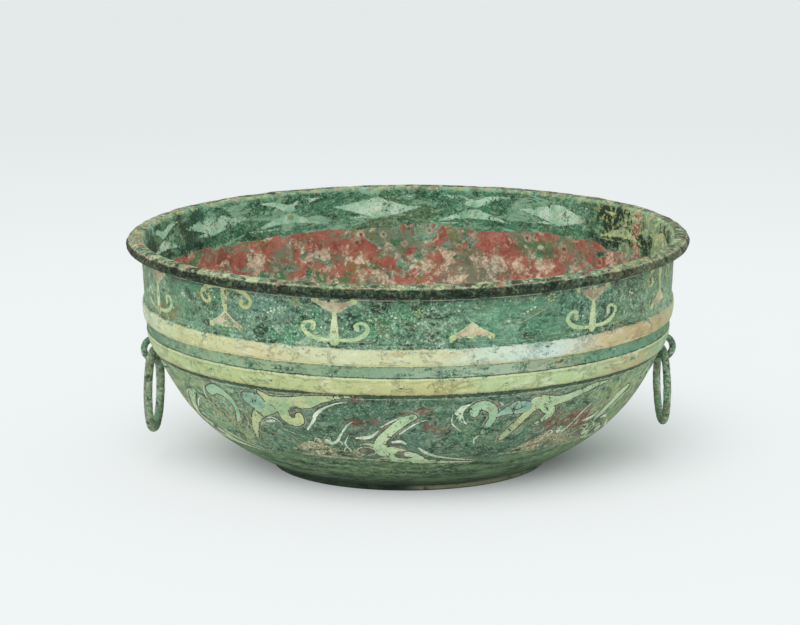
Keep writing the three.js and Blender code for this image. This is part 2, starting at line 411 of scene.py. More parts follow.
# turns rows of (radius, lumpiness, height) into a closed shell round Z
def turningTree():
    tree, g = newTree("turned shell", {
        "Rows": ("NodeSocketInt", 10), "Around": ("NodeSocketInt", 64),
        "Lump height": ("NodeSocketFloat", 0.001), "Lump scale": ("NodeSocketFloat", 30.0),
    })
    rows, around = g.inputs["Rows"], g.inputs["Around"]
    grid = g.add("GeometryNodeMeshGrid", {}, {"Size X": 1.0, "Size Y": 1.0, "Vertices X": around + 1,
                                              "Vertices Y": rows})
    index = g.add("GeometryNodeInputIndex")
    column = (index / rows + 0.00001).math("FLOOR")  # the small part keeps whole numbers whole
    sampled = g.add("GeometryNodeSampleIndex", {"data_type": "FLOAT_VECTOR", "domain": "POINT"}, {
        "Geometry": g.inputs["Geometry"], "Value": g.add("GeometryNodeInputPosition"), "Index": index - column * rows})
    radius, lumpiness, height = g.split(sampled)
    angle = column / around * (2 * math.pi)
    east, north = angle.math("COSINE"), angle.math("SINE")
    smoothPlace = g.add("ShaderNodeCombineXYZ", {}, {0: east * radius, 1: north * radius, 2: height})
    lumps = g.add("ShaderNodeTexNoise", {}, {"Vector": smoothPlace, "Scale": g.inputs["Lump scale"], "Detail": 5.0,
                                             "Roughness": 0.62})
    swell = (lumps - 0.5) * lumpiness * g.inputs["Lump height"]
    place = g.add("ShaderNodeCombineXYZ", {}, {0: east * (radius + swell), 1: north * (radius + swell),
                                               2: height + swell * 0.5})
    shell = g.add("GeometryNodeSetPosition", {}, {"Geometry": grid, "Position": place})
    welded = g.add("GeometryNodeMergeByDistance", {}, {"Geometry": shell, "Distance": 0.000002})
    endTree(g, g.add("GeometryNodeSetShadeSmooth", {}, {"Geometry": welded}))
    return tree


# copies a motif round the vertical axis; Stretch moves the copies on the right a little further round
def aroundTree():
    tree, g = newTree("round the wall", {
        "Count": ("NodeSocketInt", 6), "First angle": ("NodeSocketFloat", 0.0), "Spacing": ("NodeSocketFloat", 1.0),
        "Stretch": ("NodeSocketFloat", 0.0), "Jitter": ("NodeSocketFloat", 0.0), "Seed": ("NodeSocketInt", 7),
    })
    points = g.add("GeometryNodeMeshLine", {}, {"Count": g.inputs["Count"], "Offset": (0, 0, 0)})
    shake = g.add("FunctionNodeRandomValue", {"data_type": "FLOAT"}, {2: -1.0, 3: 1.0, "Seed": g.inputs["Seed"]}, 1)
    plain = g.inputs["First angle"] + g.add("GeometryNodeInputIndex") * g.inputs["Spacing"]
    pulled = g.step(plain, -25 * degree, 50 * degree) * g.step(plain, 175 * degree, 70 * degree)
    turn = plain + pulled * g.inputs["Stretch"] + shake * g.inputs["Jitter"]
    copies = g.add("GeometryNodeInstanceOnPoints", {}, {
        "Points": points, "Instance": g.inputs["Geometry"],
        "Rotation": g.add("ShaderNodeCombineXYZ", {}, {2: turn})})
    endTree(g, copies)
    return tree


# a corroded wire along a line of points
def wireTree():
    tree, g = newTree("corroded wire", {
        "Wire radius": ("NodeSocketFloat", 0.003), "Sides": ("NodeSocketInt", 28), "Rings": ("NodeSocketInt", 150),
        "Swell height": ("NodeSocketFloat", 0.0006), "Crust height": ("NodeSocketFloat", 0.0008),
    })
    line = g.add("GeometryNodeMeshToCurve", {}, {"Mesh": g.inputs["Geometry"]})
    even = g.add("GeometryNodeResampleCurve", {}, {"Curve": line, "Count": g.inputs["Rings"]})
    section = g.add("GeometryNodeCurvePrimitiveCircle", {}, {"Resolution": g.inputs["Sides"],
                                                             "Radius": g.inputs["Wire radius"]})
    tube = g.add("GeometryNodeCurveToMesh", {}, {"Curve": even, "Profile Curve": section, "Fill Caps": True})
    position = g.add("GeometryNodeInputPosition")
    slow = g.add("ShaderNodeTexNoise", {}, {"Vector": position, "Scale": 70.0, "Detail": 2.0})
    fine = g.add("ShaderNodeTexNoise", {}, {"Vector": position, "Scale": 330.0, "Detail": 4.0, "Roughness": 0.6})
    # both noises are centred above their mean, so that the wire thins more than it swells
    push = (slow - 0.6) * g.inputs["Swell height"] + (fine - 0.62) * g.inputs["Crust height"]
    offset = g.add("ShaderNodeVectorMath", {"operation": "SCALE"}, {0: g.add("GeometryNodeInputNormal"),
                                                                    "Scale": push})
    crusted = g.add("GeometryNodeSetPosition", {}, {"Geometry": tube, "Offset": offset})
    endTree(g, g.add("GeometryNodeSetShadeSmooth", {}, {"Geometry": crusted}))
    return tree


# paint: thin closed ribbons that follow the wall; strokes are drawn in millimetres
# each layer lies on the one below it, and strokes in one layer lie apart by a hair, nine deep
paintSizes = {"lift": 0.05, "layer": 0.04, "apart": 0.003, "deep": 9, "depth": 0.3, "stepAlong": 1.3,
              "stepAcross": 1.4}


# the point at an angle to the right of the front
def aroundFront(radius, angle, height):
    angle = angle - math.pi / 2
    return (radius * math.cos(angle), radius * math.sin(angle), height)


class Paint:
    def __init__(self, place, layer=0, flip=1, drop=0.0):
        self.place = place
        self.layer = layer
        self.flip = flip
        self.drop = drop
        self.vertices = []
        self.insets = []
        self.faces = []
        self.count = 0

    def stroke(self, corners, widths):
        p = paintSizes
        points = np.array(corners, float) * (1, self.flip) - (0, self.drop)
        longest = max(np.linalg.norm(np.diff(points, axis=0), axis=1))
        line = smoothLine(points, max(2, math.ceil(longest / p["stepAlong"])))
        wide = np.interp(np.linspace(0, 1, len(line)), np.linspace(0, 1, len(widths)), widths)
        line, wide = self.roundEnds(line, wide)
        along = np.gradient(line, axis=0)
        side = np.stack([-along[:, 1], along[:, 0]], 1) / np.linalg.norm(along, axis=1)[:, None]
        across = max(2, math.ceil(max(wide) / p["stepAcross"]))
        lift = p["lift"] + p["layer"] * self.layer + p["apart"] * (self.count % p["deep"])
        self.count += 1
        base, ring = len(self.vertices), across + 3
        for point, out, width in zip(line, side, wide):
            row = [(point + out * width * (0.5 - i / across), lift, width * min(i, across - i) / across)
                   for i in range(across + 1)]
            row = [(row[0][0], -p["depth"], 0.0)] + row + [(row[-1][0], -p["depth"], 0.0)]
            for (u, v), high, inset in row:
                self.vertices.append(self.place(u / 1000, v / 1000, high / 1000))
                self.insets.append(inset)
        for i in range(len(line) - 1):
            here, there = base + ring * i, base + ring * (i + 1)
            for j in range(ring):
                k = (j + 1) % ring
                self.faces.append((here + j, here + k, there + k, there + j))
        last = base + ring * (len(line) - 1)
        self.faces.append(tuple(base + j for j in reversed(range(ring))))
        self.faces.append(tuple(last + j for j in range(ring)))

    # a half circle of rows at each end
    def roundEnds(self, line, wide):
        reach = np.array([0.98, 0.88, 0.66, 0.35])
        start = line[0] - line[1]
        end = line[-1] - line[-2]
        start = start / np.linalg.norm(start) * wide[0] / 2
        end = end / np.linalg.norm(end) * wide[-1] / 2
        narrow = np.sqrt(1 - reach ** 2)
        line = np.vstack([line[0] + reach[:, None] * start, line, line[-1] + reach[::-1, None] * end])
        return line, np.concatenate([wide[0] * narrow, wide, wide[-1] * narrow[::-1]])

    def strokes(self, pairs):
        for corners, widths in pairs:
            self.stroke(corners, widths)

    def spot(self, u, v, radius):
        self.stroke([(u - 0.15 * radius, v), (u + 0.15 * radius, v)], [1.9 * radius] * 2)

    def circle(self, u, v, wide, tall, width):
        points = [(u + wide * math.cos(i * math.pi / 5), v + tall * math.sin(i * math.pi / 5)) for i in range(11)]
        self.stroke(points, [width])


def keepPaint(name, paint, material, tree, copies):
    piece = newObject(name, paint.vertices, [], paint.faces)
    piece.data.attributes.new("inset", "FLOAT", "POINT").data.foreach_set("value", paint.insets)
    runTree(piece, tree, {**copies, "Material": material})
    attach(piece, "basin")
    return len(piece.data.polygons)


# upper panel: seven motifs of each kind, each a lozenge with a stem and two hooks
panelSizes = {"middle": 0.1408, "radius": 0.1885, "spacing": 25.714, "standing": -15.4, "stretch": 6.3,
              "hangingDrop": 1.6, "tipOut": 14.0, "lozengeTop": 12.4, "lozengeFoot": 2.0, "stemFoot": -15.4,
              "bare": 0.5364}  # the turn at which a hanging motif has lost its stem and hooks


def panelPlace(u, v, lift):
    height = panelSizes["middle"] + v
    return aroundFront(wallRadius(height) + lift, u / panelSizes["radius"], height)


def drawMotif(stem, hooks, fill, edge):
    s = panelSizes
    out, top, low = s["tipOut"], s["lozengeTop"], s["lozengeFoot"]
    half = (-out / 2, top - 3.2)
    fill.stroke([(-out, top - 1.2), half, (0, (top + low) / 2), (-half[0], half[1]), (out, top - 1.2)],
                [0.8, 4.4, top - low - 1, 4.4, 0.8])
    for side in (-1, 1):
        edge.stroke([(side * out, top - 1.8), (side * out / 2, top - 5.6), (0, low)], [1.2, 1.5, 1.9])
        edge.spot(side * (out - 0.6), top - 0.6, 2.4)
    edge.stroke([(-out + 2, top - 0.4), (half[0], top - 1.4), (0, top), (-half[0], top - 1.2), (out - 2, top - 0.4)],
                [1.1])
    edge.stroke([(-3.8, 8.2), (-3.2, 10.8), (-0.4, 11.8), (1.9, 10.2), (1.3, 8.2), (-0.7, 8.4)],
                [1.3, 1.8, 1.9, 1.7, 1.6])
    stem.stroke([(0.1, low + 0.5), (-0.3, -6), (-0.4, s["stemFoot"])], [3.4, 5.6, 7.6])
    hook = [(2, -14.9), (7, -15.2), (12.6, -14.5), (18.6, -12.4), (22.6, -8.2), (21.4, -4.4), (17.8, -3.0),
            (14.6, -4.6), (15.2, -7.0)]
    for side in (-1, 1):
        hooks.stroke([(side * u, v) for u, v in hook], [2.6, 3.0, 3.4, 3.8, 3.6, 3.1, 2.8, 3.4, 4.4])


# fine double lines from one lozenge's tip to the next, with pale beads half way
def drawZigzag(thin, beads, dots, shift):
    reach = panelSizes["spacing"] * degree * panelSizes["radius"] * 1000
    thin.stroke([(14, 12.4), (reach / 2 + 1, 0.6), (reach - 15, -11.4)], [0.6, 0.8, 0.6])
    thin.stroke([(20, 7.4), (reach / 2 - 2, -1.6), (reach - 24, -8.0)], [0.5, 0.7, 0.4])
    for i in range(4):
        beads.spot(reach * (0.44 + 0.032 * i) + 1.5 - 0.5 * shift, 2.4 - shift - 1.2 * i, 0.95)
    thin.circle(-27, 11, 2.4, 2.4, 0.9)
    for i in range(7):
        angle = i * 0.9
        dots.spot(reach * 0.68 + 2.6 * math.cos(angle), 4.2 - 3.6 * shift + 2.4 * math.sin(angle), 0.9)
    dots.spot(-16.5, -7.8, 1.1)
    beads.spot(-9.5, -6.8, 0.8)


def buildPanel(tree, paints):
    s = panelSizes
    total = 0
    for flip, kind, centre in ((1, "standing", s["standing"]), (-1, "hanging", s["standing"] + s["spacing"])):
        drop = s["hangingDrop"] if flip < 0 else 0.0
        stem, hooks, fill, edge, thin, beads, dots = (Paint(panelPlace, layer, flip, drop)
                                                      for layer in (1, 1, 0, 2, 0, 1, 1))
        drawMotif(stem, hooks, fill, edge)
        drawZigzag(thin, beads, dots, 4.2 if flip < 0 else 0.0)
        copies = {"Count": 7, "First angle": (centre - 6 * s["spacing"]) * degree,
                  "Spacing": 2 * s["spacing"] * degree, "Stretch": s["stretch"] * degree, "Jitter": 0.0, "Seed": 5}
        for name, paint, colour in (("stems", stem, kind + " stem"), ("hooks", hooks, kind + " hooks"),
                                    ("lozenges", fill, kind + " lozenge"), ("edges", edge, "yellow cream"),
                                    ("thin_lines", thin, "faded pink"), ("beads", beads, "white"),
                                    ("dots", dots, "ochre")):
            total += keepPaint("upper_" + kind + "_" + name, paint, paints[colour], tree, copies)
    return total


# lower panel: two unlike hanging groups, turn about, each with a crook, a lobe and a trunk with a long tail, and
# rising groups between them
cloudSizes = {"radius": 0.166, "first": -35.0, "second": 25.0, "rising": -5.0, "outline": 3.3, "gap": 1.5}
cloudLayers = {"outlines": 0, "gaps": 1, "yellow": 2, "sage": 2, "mint": 2, "pale green": 2, "blue": 3, "patches": 0,
               "residue": 1, "eyes": 4, "white": 5}


def bowlPlace(u, v, lift):
    share = float(np.interp(-v, bowlLength, bowlShares))
    radius, height = bowlPoint(share, -lift)
    return aroundFront(radius, u / cloudSizes["radius"], height)


# each shape with a dark gap round it and a pinkish line round the gap
def drawShapes(c, shapes):
    for paint, corners, widths in shapes:
        c["outlines"].stroke(corners, [width + cloudSizes["outline"] for width in widths])
        c["gaps"].stroke(corners, [width + cloudSizes["gap"] for width in widths])
        paint.stroke(corners, widths)


def drawFirst(c):
    drawShapes(c, [
        (c["mint"], [(-46, -12.5), (-38.5, -9.5), (-31, -12.5), (-26, -19.5), (-26, -27.5), (-31, -37)],
         [8, 8.5, 7, 5.5, 5, 3.2]),
        (c["yellow"], [(2, -5), (9, -11), (16, -12.5), (24, -10.5), (35, -8.5), (45, -5.3), (54, -3.2), (65, -1.6)],
         [4, 10, 13, 10.4, 11.4, 7, 3.6, 1.6]),
        (c["yellow"], [(11, -14.5), (5.6, -17.5), (-3.8, -23.4), (-11.2, -31.5), (-15.7, -39.8), (-19.9, -50)],
         [10, 11, 9.4, 7, 5.8, 3]),
        (c["yellow"], [(15.5, -13), (15.8, -20), (17.6, -26), (22, -28.2), (26.2, -25.8), (27.4, -21.6)],
         [10, 9, 8.4, 8.2, 8, 6]),
        (c["blue"], [(-9.5, -11.6), (-6.5, -12.6), (-3.8, -13.4)], [11, 14.4, 15]),
    ])
    c["eyes"].stroke([(31, -17), (28.6, -14.6), (24.8, -14.8), (22.2, -17.2), (22.8, -20.6)],
                     [1.4, 2.4, 3.4, 3.2, 1.8])
    c["eyes"].stroke([(5.6, -13.4), (9, -15.4), (10.4, -18)], [0.9, 1.5, 0.9])
    c["white"].strokes([
        ([(65.5, -5.8), (55.6, -7.9), (46.4, -12.7), (39.8, -19), (37.2, -24.5), (30.4, -34)],
         [0.7, 1.5, 2.0, 3.4, 2.6, 1.8]),
        ([(-49.4, -7), (-53.8, -15), (-54.6, -22), (-51, -26.5)], [0.6, 1.6, 1.6, 0.6]),
        ([(-8.3, -36.6), (-3.4, -30), (3.4, -26.4), (9, -28), (11.4, -33)], [0.7, 1.1, 1.3, 1.2, 0.7]),
        ([(-0.6, -30.8), (5, -29.4)], [2.6, 3.2]),
    ])
    for i in range(8):
        u, v = -56 + 5.4 * i, -15.5 - 3.4 * (i * 5 % 4)
        c["residue"].stroke([(u, v), (u + 3.8, v - 5.4), (u + 4, v - 12), (u - 0.6, v - 19), (u - 6, v - 24)],
                            [0.7, 1.3, 1.5, 1.3, 0.7])
    for i in range(9):
        u, v = -62 + 9.5 * i, -24 - 4.2 * (i * 3 % 5)
        c["residue"].stroke([(u, v), (u + 6, v - 7), (u + 15, v - 12), (u + 26, v - 15)], [0.6, 1.2, 1.1, 0.5])
    for rise in (0, 1.9):
        c["residue"].stroke([(0, -3.6 + rise), (11, -7.2 + rise), (20, -4.4 + rise), (42, -3.2 + rise),
                             (64, -1.5 + rise)], [0.5, 0.9, 0.9, 0.7, 0.5])


def drawSecond(c):
    drawShapes(c, [
        (c["mint"], [(-29.4, -17), (-29.6, -12.4), (-24.4, -10.4), (-18.6, -13.6), (-16.4, -20.4), (-18.2, -28),
                     (-21.4, -35.4)], [6.5, 8, 8.6, 7.6, 6.2, 5.8, 3.6]),
        (c["blue"], [(-13.5, -20.6), (-7, -16.6), (0, -15), (5, -15.4)], [3, 8, 12.6, 11]),
        (c["yellow"], [(17, -10), (13.6, -15.4), (8.8, -20.8), (3.6, -28.4), (-1.5, -36.2), (-5.4, -42.4)],
         [7, 7.6, 6.8, 6.8, 6.6, 5.4]),
        (c["sage"], [(12, -10.6), (20, -12.6), (28.7, -13.4), (38, -12.2), (48, -9.6), (60, -6.6), (71, -5.4)],
         [7, 11, 8.6, 7, 6, 5, 2]),
        (c["sage"], [(17, -13.6), (23, -18.6), (27, -23.6), (24.4, -28.4), (18, -32)], [8, 9.4, 8, 5.6, 2.4]),
    ])
    c["eyes"].stroke([(-3, -12.4), (-1.4, -16.4), (2.2, -15.8), (2.2, -12.6)], [1.1, 2.0, 1.7, 1.1])
    c["white"].strokes([
        ([(-32, -8), (-37.6, -11.4), (-40, -16), (-38, -21.6), (-34, -26)], [1.0, 4.4, 6.0, 4.2, 1.2]),
        ([(-17.6, -7), (-13.8, -8.6), (-11.2, -12.2)], [0.8, 2.4, 2.4]),
        ([(-24, -38.6), (-26.4, -42), (-25.6, -46)], [2.6, 1.4, 1.8]),
        ([(57, -15.6), (64.6, -11.9)], [0.7, 1.3]),
        ([(-44, -17), (-43.6, -25), (-37, -33)], [0.6, 1.6, 0.7]),
    ])
    for u, v in ((-9.6, -38), (0.6, -42.4), (10.6, -30.4), (34, -24), (46, -21)):
        c["residue"].stroke([(u, v), (u + 6, v + 8.4), (u + 13, v + 15)], [0.5, 0.9, 0.6])
    c["residue"].stroke([(-14, -4.8), (10, -4.0), (40, -3.4), (78, -3.0)], [0.8])
    c["residue"].stroke([(60, -44), (74, -30), (92, -20)], [0.8, 1.4, 0.8])


def drawRising(c):
    drawShapes(c, [
        (c["pale green"], [(-7, -52), (-1, -54.4), (6, -57.6), (14, -60.4), (21, -63), (28, -66), (42, -67.8),
                           (65, -69.6)], [10, 16, 18.4, 16, 12, 6.4, 4, 1.6]),
        (c["pale green"], [(-6, -48.4), (-4.4, -40.6), (2.2, -31.4), (9.9, -23.2), (17, -18.4)], [11, 8.4, 7.4, 8, 6]),
        (c["yellow"], [(-10, -46.6), (-15, -45), (-20.4, -45.6)], [4.6, 3, 1.6]),
    ])
    for u, v, wide in ((-5, -59.8, 2.6), (-17.4, -53.2, 7), (10, -57, 9), (1.6, -43.4, 6.4)):
        c["eyes"].stroke([(u - 2, v), (u + 3.4, v + 0.4)], [wide, wide * 1.2])
    white, residue = c["white"], c["residue"]
    white.strokes([
        ([(10.8, -17.7), (3.2, -22.2), (-3.8, -27.5)], [0.9, 1.9, 1.2]),
        ([(26.5, -20.5), (18.2, -25), (8.4, -33.8)], [0.8, 1.8, 1.8]),
        ([(-22, -39), (-16.6, -38.6), (-11.6, -37), (-5.9, -31.2)], [2, 3.8, 3.4, 1.1]),
        ([(3.4, -42.2), (8.4, -41.6), (12, -43.6)], [2.4, 3.4, 2.2]),
        ([(22, -49), (27, -54.4), (36, -59.4), (52, -64), (65.4, -67)], [2, 3.6, 2.8, 2, 0.8]),
        ([(-44, -43.4), (-41.6, -46.2), (-36.4, -43), (-32, -35.5), (-27.2, -27.7), (-22.8, -23.2)],
         [3.8, 3.8, 2.7, 2.0, 1.8, 0.8]),
        ([(-27, -36.4), (-31, -45), (-29.6, -51.7)], [0.7, 2.0, 1.0]),
    ])
    white.circle(-16.6, -53.2, 7, 4.8, 1.1)
    white.strokes([
        ([(-9.6, -62.4), (-5.4, -61.2), (-1, -62.6)], [0.9, 1.6, 0.9]),
        ([(14, -56), (17.6, -57.4)], [6.4, 5.6]),
    ])
    c["patches"].strokes([
        ([(-25, -54.4), (-19.6, -53.4), (-14.4, -52.2)], [5, 9, 5]),
        ([(-86, -61), (-72, -57), (-60, -51), (-48, -47.4), (-38, -49)], [1, 5, 11, 15, 9]),
        ([(-68, -60.4), (-50, -59), (-38, -57), (-24, -59)], [4, 9, 12, 7]),
    ])
    for u, v in ((-52, -44), (-44, -41.6), (-36, -45), (-58, -48), (-31, -52)):
        white.stroke([(u - 2.6, v - 2), (u - 1, v + 1.6), (u + 2, v + 1), (u + 2.4, v - 2.4), (u + 0.4, v - 3.2)],
                     [0.8, 1.4, 1.3, 1.2, 0.7])
    for i in range(7):
        u = -66 + 6.4 * i
        residue.stroke([(u, -57 + 0.6 * i), (u + 3, -53.4 + 0.4 * i), (u + 1.6, -49 - 0.5 * i)], [0.7, 1.4, 0.7])
    residue.stroke([(-88, -62.6), (-50, -63.4), (-15, -64.2), (20, -66.4), (66, -70)], [2.2, 2.6, 2.0, 1.4, 1.0])


def buildClouds(tree, paints):
    s = cloudSizes
    total = 0
    for kind, draw, first, count in (("first", drawFirst, s["first"], 3), ("second", drawSecond, s["second"], 3),
                                     ("rising", drawRising, s["rising"], 6)):
        paintsUsed = {name: Paint(bowlPlace, layer) for name, layer in cloudLayers.items()}
        draw(paintsUsed)
        spacing = 360.0 / count
        copies = {"Count": count, "First angle": (first - spacing * (count // 2)) * degree, "Spacing": spacing * degree,
                  "Stretch": 0.0, "Jitter": 0.0, "Seed": 3}
        for name, paint in paintsUsed.items():
            if paint.faces:
                total += keepPaint("lower_" + kind + "_" + name.replace(" ", "_"), paint, paints[name], tree, copies)
    return total


# inside the rim: pale mint shapes on the green band; diamond and bow give the angles of the fourth of each
insideSizes = {"middle": 0.1492, "radius": 0.1855, "spacing": 44.0, "diamond": 143.0, "bow": 164.3, "count": 8,
               "before": 3}


def insidePlace(u, v, lift):
    height = insideSizes["middle"] + v
    return aroundFront(wallRadius(height) - b["wall"] - lift, -u / insideSizes["radius"], height)


def buildInside(tree, paints):
    s = insideSizes
    diamonds, bows = Paint(insidePlace), Paint(insidePlace)
    diamondDots, bowDots = Paint(insidePlace, 2), Paint(insidePlace, 2)
    diamonds.stroke([(-33, 1.5), (-20, 0.8), (-10, 0.4), (0, 0), (10, -0.6), (20, -1), (33, 0.5)],
                    [1.6, 7, 12, 17.5, 12, 7, 1.6])
    diamondDots.spot(1, -0.5, 2.6)
    bowDots.spot(1, -3.4, 2.0)
    diamonds.strokes([([(-22, -7.4), (-12, -6.6), (-2, -8)], [0.8, 3, 1.2]),
                      ([(14, 7.4), (24, 8.2), (32, 6.6)], [0.6, 1.8, 0.6])])
    bows.strokes([([(-25, 9.4), (-12, 7.2), (0, 3.4), (11, 7.4), (27, 9.8)], [1.4, 5, 7, 5.4, 1.2]),
                  ([(-28, -9.8), (-12, -6), (0, -4.4), (10, -6), (25, -9.6)], [2, 5.6, 8.4, 5.6, 1.6]),
                  ([(-36, -10.8), (-24, -11.6), (6, -11)], [0.8, 1.8, 0.8])])
    total = 0
    shapes = [("diamonds", diamonds, "inner mint", s["diamond"]), ("diamond_dots", diamondDots, "white", s["diamond"]),
              ("bows", bows, "inner mint", s["bow"]), ("bow_dots", bowDots, "ochre", s["bow"])]
    for name, paint, colour, first in shapes:
        copies = {"Count": s["count"], "First angle": (first - s["before"] * s["spacing"]) * degree,
                  "Spacing": s["spacing"] * degree, "Stretch": 0.0, "Jitter": 0.01, "Seed": 4}
        total += keepPaint("inner_" + name, paint, paints[colour], tree, copies)
    return total


# looks of each surface
def strip(g, low, high, wobble=0.0):
    soft = 0.00035
    place = g.z + wobble
    return g.step(place, low, low + soft) * g.step(place, high, high - soft)


# colours of the painted strips round the wall, from the back through the left, front and right to the back
stripTints = {
    "upper": [(0.0, "c4c8a2"), (0.15, "ccd4ae"), (0.28, "ccd8b8"), (0.35, "c9cd97"), (0.41, "cec89a"), (0.46, "c9cfa8"),
              (0.51, "cccea4"), (0.55, "c9d8c4"), (0.585, "cbdcd0"), (0.62, "cbbd92"), (0.66, "bda97d"),
              (0.72, "b8b88e"), (0.97, "c4c8a2")],
    "middle": [(0.0, "6f8f72"), (0.3, "628669"), (0.36, "93ab86"), (0.42, "9fb28c"), (0.47, "83a080"), (0.5, "9db295"),
               (0.57, "acbda2"), (0.6, "a8a67c"), (0.615, "76a082"), (0.7, "648c6c"), (0.97, "6f8f72")],
    "lower": [(0.0, "b4bc8c"), (0.2, "bdc79a"), (0.3, "bfcc99"), (0.38, "b6c48a"), (0.45, "bdc68e"), (0.51, "c2be86"),
              (0.55, "b9ca95"), (0.62, "b5cb98"), (0.66, "bcb284"), (0.7, "96bb90"), (0.97, "b4bc8c")],
}


# single spots on the outside: turn, reach along it, height and reach in height
outsideSpots = {
    "fresh green": (0.355, 0.05, b["height"] - 0.026, 0.03),
    "smear": (0.568, 0.05, b["height"] - 0.03, 0.034),
    "stain": (0.325, 0.022, bandTop + 0.005, 0.008),
}
largeScar = (0.615, 0.036, bowlHeight(0.041), 0.02)
smallScars = [
    (0.475, 0.02, bowlHeight(0.03), 0.011), (0.4675, 0.008, bowlHeight(0.0035), 0.0035),
    (0.499, 0.009, bowlHeight(0.018), 0.006), (0.509, 0.008, bowlHeight(0.013), 0.004),
    (0.518, 0.012, bowlHeight(0.03), 0.008),
]


# painted shade makes the bowl darker at the front, and painted light over a yellowish crust makes the wall paler
# and yellower at the sides
def tintWallWithPaintedLight(g, side):
    bowl = g.step(g.z, bandBottom + 0.001, bandBottom - 0.006)
    # painted shade on the front of the bowl
    g.coat("3c5343", bowl * g.step(side, 0.14, 0.06) * 0.4)
    # painted light on the sides of the wall
    g.coat("a3bc90", g.step(side, 0.1, 0.21) * (0.24 + g.blotch(90, 0.47, 0.58, 34.0) * 0.25))
    # painted light on the sides of the bowl, in yellowish crust streaks
    sideLightAndCrust = bowl * g.step(side, 0.08, 0.17)
    g.coat("a0b07c", sideLightAndCrust * g.blotch(60, 0.47, 0.55, 31.0, stretch=2.5) * 0.7)
    g.coat("519468", g.near(*outsideSpots["fresh green"]) * g.blotch(36, 0.45, 0.55, 72.0) * 0.55)
    g.coat("6c736c", g.blotch(46, 0.56, 0.62, 73.0) * g.step(g.z, bandTop, bandTop + 0.004) * 0.5)
    smeared = g.near(*outsideSpots["smear"]) * g.blotch(26, 0.4, 0.52, 84.0, stretch=5.0)
    g.coat(g.mix("44805c", "6ba184", g.blotch(70, 0.45, 0.56, 85.0, stretch=6.0)), smeared * 0.55)
    stained = g.near(*outsideSpots["stain"])
    g.coat("957c4c", stained * g.blotch(110, 0.45, 0.54, 32.0) * 0.7)


# the strips of paint, worn and with wandering edges
def paintStrips(g, fine, wobble, wear):
    around = g.turn + (g.noise(30, 6, 0.6, 0.3, 2.0, 8.1) - 0.5) * 0.05
    stain = g.noise(60, 7, 0.68, 0.2, 3.0, 1.1)
    edges = [("upper", middleTop - 0.0002, bandTop - 0.0003), ("lower", bandBottom + 0.0006, lowerTop - 0.0001)]
    for key, low, high in edges:
        cream = g.ramp(around, stripTints[key])
        cream = g.mix(cream, "a9b78c", g.step(stain, 0.53, 0.68) * 0.5)
        cream = g.mix(cream, "c39f6c", g.blotch(42, 0.54, 0.64, 33.0, stretch=2.5) * 0.35)
        cream = g.mix(cream, "dde2c6", g.step(stain, 0.46, 0.36) * 0.5)
        cream = g.mix(cream, "7e9272", g.step(fine, 0.43, 0.34) * 0.5)
        cream = g.mix(cream, "b08a5c", strip(g, low, low + 0.0016, wobble * 0.4) * 0.3)
        g.coat(cream, strip(g, low, high, wobble) * g.step(wear, 0.605, 0.585))
    grey = strip(g, lowerTop + 0.0005, middleTop - 0.0006, wobble) * g.step(stain + (fine - 0.5) * 0.4, 0.6, 0.52)
    g.coat(g.ramp(around, stripTints["middle"]), grey * 0.85)
    # pale paint left on their edges, a painted highlight along the top edge of the lower strip, white creeping over
    # the upper one, and painted shade in the grooves
    light = strip(g, middleTop - 0.0005, middleTop + 0.0009, wobble * 0.4) * g.step(wear, 0.6, 0.54)
    g.coat("d6d49c", light * 0.7)
    # painted highlight on the top edge of the lower strip, worn away like the paint
    ridgeHighlight = strip(g, lowerTop - 0.0012, lowerTop + 0.0002, wobble * 0.4) * g.step(wear, 0.6, 0.53)
    g.coat("d4d2a2", ridgeHighlight * 0.8)
    dull = strip(g, lowerTop - 0.0034, lowerTop - 0.0014, wobble) * g.step(stain, 0.42, 0.54)
    g.coat("8f9f72", dull * 0.5)
    creep = strip(g, bandTop - 0.0036, bandTop + 0.0016, wobble) * g.blotch(120, 0.54, 0.59, 53.0)
    g.coat(g.mix("6f9a80", "c8dccb", g.step(fine, 0.46, 0.56)), creep * 0.85)
    # painted shade in the grooves below and above the lower strip
    grooveShade = strip(g, bandBottom - 0.0024, bandBottom + 0.0007, wobble) + strip(g, lowerTop + 0.0001, lowerTop + 0.0009)
    g.coat("33493a", grooveShade * 0.75)


# painted shade under the lip, lighter at the right, and thin lines that border the two painted panels
def lipShadeAndBorders(g, fine, wobble, wear):
    top = b["height"]
    # painted shade on the wall under the lip
    shade = g.step(g.z + wobble * 0.7, top - 0.0148, top - 0.0098)
    rightward = g.sideways(0.55, 0.68)
    g.coat("17251c", shade * (0.55 + g.step(fine, 0.56, 0.46) * 0.35) * (1 - rightward * 0.4))
    trembling = wobble * 0.25
    borders = (strip(g, top - 0.0118, top - 0.011, trembling) + strip(g, bandTop + 0.0037, bandTop + 0.0043, trembling)
               + strip(g, bandTop + 0.0014, bandTop + 0.0019, wobble * 0.4)
               + strip(g, bowlHeight(0.0036), bowlHeight(0.0028), wobble * 0.3))
    g.coat("bfb59e", borders * g.step(wear, 0.58, 0.5) * 0.85)


